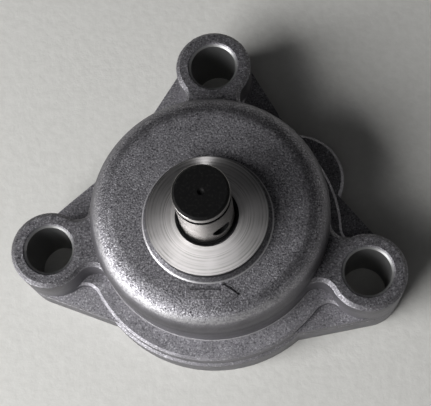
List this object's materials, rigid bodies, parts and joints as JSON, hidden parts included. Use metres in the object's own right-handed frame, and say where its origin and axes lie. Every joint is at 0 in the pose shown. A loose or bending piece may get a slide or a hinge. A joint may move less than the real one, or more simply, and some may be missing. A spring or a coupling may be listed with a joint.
{
  "type": "engine oil pump",
  "caption": "Small engine oil pump with three bolt lugs, a driven shaft and meshing lobed rotors inside a two-part aluminium casting.",
  "frame": {"origin": "where the shaft axis meets the flat mounting face on the back of the cover casting", "axes": "+Z along the shaft towards its driven end, +Y towards the lug that stands alone, +X to its right when seen from the driven end"},
  "size_m": [0.0595, 0.0516, 0.0326],
  "materials": {
    "cast_body": "shot-blasted casting with machined faces",
    "cast_cover": "shot-blasted casting with a milled mounting face",
    "shaft_steel": "ground steel with a dark hardened end",
    "rotor_steel": "sintered steel, ground on the faces",
    "fastener_steel": "zinc plated",
    "pin_steel": "ground hardened steel"
  },
  "bodies": {
    "housing": {"pump_body": "cast_body", "pump_cover": "cast_cover", "cover_screw_1": "fastener_steel", "cover_screw_2": "fastener_steel", "cover_screw_3": "fastener_steel", "dowel_pin_1": "pin_steel", "dowel_pin_2": "pin_steel"},
    "shaft_and_inner_rotor": {"drive_shaft": "shaft_steel", "inner_rotor": "rotor_steel", "rotor_drive_pin": "pin_steel"},
    "outer_rotor": {"outer_rotor": "rotor_steel"}
  },
  "joints": [
    {"name": "shaft_spin", "type": "hinge", "parent": "housing", "child": "shaft_and_inner_rotor", "pos_m": [0, 0, 0.01], "axis": [0, 0, 1], "continuous": true},
    {"name": "outer_rotor_spin", "type": "hinge", "parent": "housing", "child": "outer_rotor", "pos_m": [0, 0.0015, 0.01], "axis": [0, 0, 1], "continuous": true}
  ],
  "couplings": [
    {"joint": "outer_rotor_spin", "follows": "shaft_spin", "ratio": 0.8}
  ]
}
